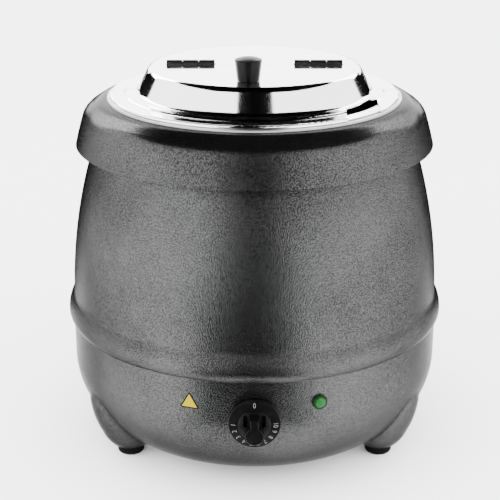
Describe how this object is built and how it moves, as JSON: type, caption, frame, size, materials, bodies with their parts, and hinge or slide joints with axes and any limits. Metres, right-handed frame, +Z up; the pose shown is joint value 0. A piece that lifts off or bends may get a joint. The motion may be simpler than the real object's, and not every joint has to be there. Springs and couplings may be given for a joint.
{
  "type": "soup kettle",
  "caption": "Electric soup kettle: barrel-shaped water bath casing with a domed collar, lift-out pot, split hinged lid with ladle notch, and numbered heat control.",
  "frame": {"origin": "on the kettle's vertical axis, at the surface its feet stand on", "axes": "+Z up, -Y out through the control knob at the front, +X to the right seen from the front"},
  "size_m": [0.34, 0.371, 0.3625],
  "materials": {
    "hammertone": "fine hammertone, satin",
    "polished_steel": "polished stainless",
    "pressed_steel": "mill finish stainless",
    "hinge_steel": "bright stainless",
    "black_knob": "glossy moulded",
    "foot_rubber": "matte",
    "seal_silicone": "matte",
    "zinc_hardware": "zinc plated",
    "green_lens": "translucent moulded",
    "yellow_sticker": "printed film",
    "black_plastic": "moulded",
    "heat_aluminium": "cast",
    "element_sheath": "heat tinted",
    "mineral_wool": "felted",
    "copper_tube": "drawn copper",
    "white_plastic": "moulded",
    "terminal_brass": "plated",
    "brown_wire": "sleeved",
    "blue_wire": "sleeved",
    "green_wire": "sleeved",
    "grey_wire": "sleeved"
  },
  "bodies": {
    "kettle": {"upper_shell": "hammertone", "lower_shell": "hammertone", "collar": "hammertone", "well": "pressed_steel", "element_clamp": "pressed_steel", "regulator_bracket": "pressed_steel", "foot_front_left": "foot_rubber", "foot_front_right": "foot_rubber", "foot_rear": "foot_rubber", "rim_gasket": "seal_silicone", "foot_screws": "zinc_hardware", "foot_nuts": "zinc_hardware", "tie_stud": "zinc_hardware", "tie_nut": "zinc_hardware", "tie_washer": "zinc_hardware", "clamp_nut": "zinc_hardware", "regulator_screws": "zinc_hardware", "regulator_spacers": "zinc_hardware", "earth_stud": "zinc_hardware", "indicator_lens": "green_lens", "blank_sticker": "yellow_sticker", "cord_gland": "black_plastic", "gland_nut": "black_plastic", "gland_locknut": "black_plastic", "indicator_barrel": "black_plastic", "indicator_nut": "black_plastic", "regulator_body": "black_plastic", "heat_plate": "heat_aluminium", "heating_element": "element_sheath", "insulation_pad": "mineral_wool", "capillary_tube": "copper_tube", "sensing_bulb": "copper_tube", "terminal_block": "white_plastic", "thermal_cutout": "white_plastic", "terminal_screws": "terminal_brass", "lead_live": "brown_wire", "lead_switched": "brown_wire", "lead_neutral": "blue_wire", "lead_earth": "green_wire", "supply_conductors": "grey_wire"},
    "soup_pot": {"soup_pot": "polished_steel"},
    "lid_rear": {"lid_rear_half": "polished_steel", "hinge_left_rear_leaf": "hinge_steel", "hinge_left_pin": "hinge_steel", "hinge_right_rear_leaf": "hinge_steel", "hinge_right_pin": "hinge_steel"},
    "lid_front": {"lid_front_half": "polished_steel", "hinge_left_front_leaf": "hinge_steel", "hinge_right_front_leaf": "hinge_steel", "lid_knob": "black_knob", "lid_knob_screw": "zinc_hardware"},
    "dial": {"control_knob": "black_knob", "regulator_shaft": "zinc_hardware"}
  },
  "joints": [
    {"name": "pot_lift", "type": "slide", "parent": "kettle", "child": "soup_pot", "axis": [0, 0, 1], "range_m": [0, 0.28]},
    {"name": "lid_lift", "type": "slide", "parent": "soup_pot", "child": "lid_rear", "axis": [0, 0, 1], "range_m": [0, 0.12]},
    {"name": "lid_hinge", "type": "hinge", "parent": "lid_rear", "child": "lid_front", "pos_m": [0, 0, 0.3435], "axis": [-1, 0, 0], "range_deg": [0, 150]},
    {"name": "dial_turn", "type": "hinge", "parent": "kettle", "child": "dial", "pos_m": [0, -0.1685, 0.0815], "axis": [0, 1, 0], "range_deg": [0, 270]}
  ]
}
